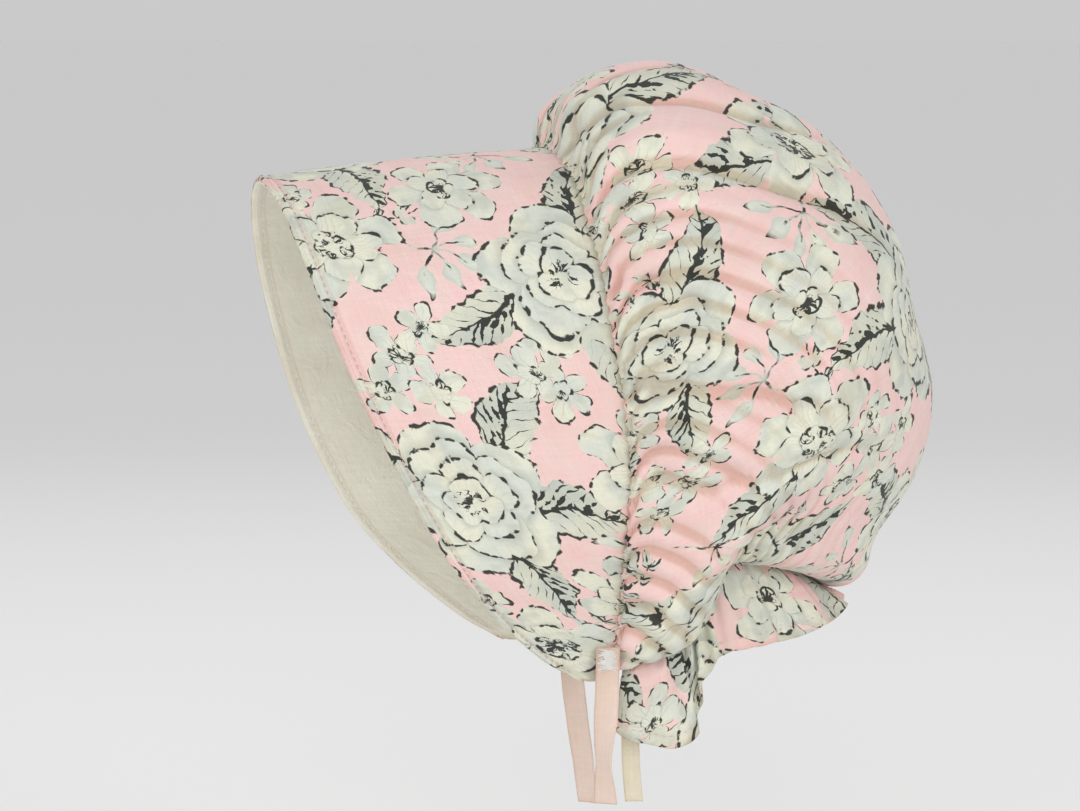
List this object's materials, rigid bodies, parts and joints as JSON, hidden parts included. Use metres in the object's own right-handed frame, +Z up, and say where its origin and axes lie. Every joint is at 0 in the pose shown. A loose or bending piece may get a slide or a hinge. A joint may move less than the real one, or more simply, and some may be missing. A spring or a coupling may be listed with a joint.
{
  "type": "sunbonnet",
  "caption": "Child's sun hat: a stiff cloth brim round the face, a puffed crown gathered onto it, a ruffle at the neck and hanging ribbons.",
  "frame": {"origin": "inside the top of the crown, where a head bears", "axes": "+Z up, the face opening looks towards -Y, the wearer's left is +X"},
  "size_m": [0.1777, 0.2337, 0.264],
  "materials": {
    "printed_cotton": "matte woven cotton with a floral print",
    "lining_cotton": "matte woven cotton",
    "pink_ribbon": "soft woven ribbon",
    "cream_ribbon": "soft woven ribbon"
  },
  "bodies": {
    "root": {"brim_cover": "printed_cotton", "brim_lining": "lining_cotton", "crown": "printed_cotton", "neck_ruffle": "printed_cotton", "outer_left_ribbon": "pink_ribbon", "inner_left_ribbon": "cream_ribbon", "inner_right_ribbon": "pink_ribbon"}
  },
  "joints": []
}
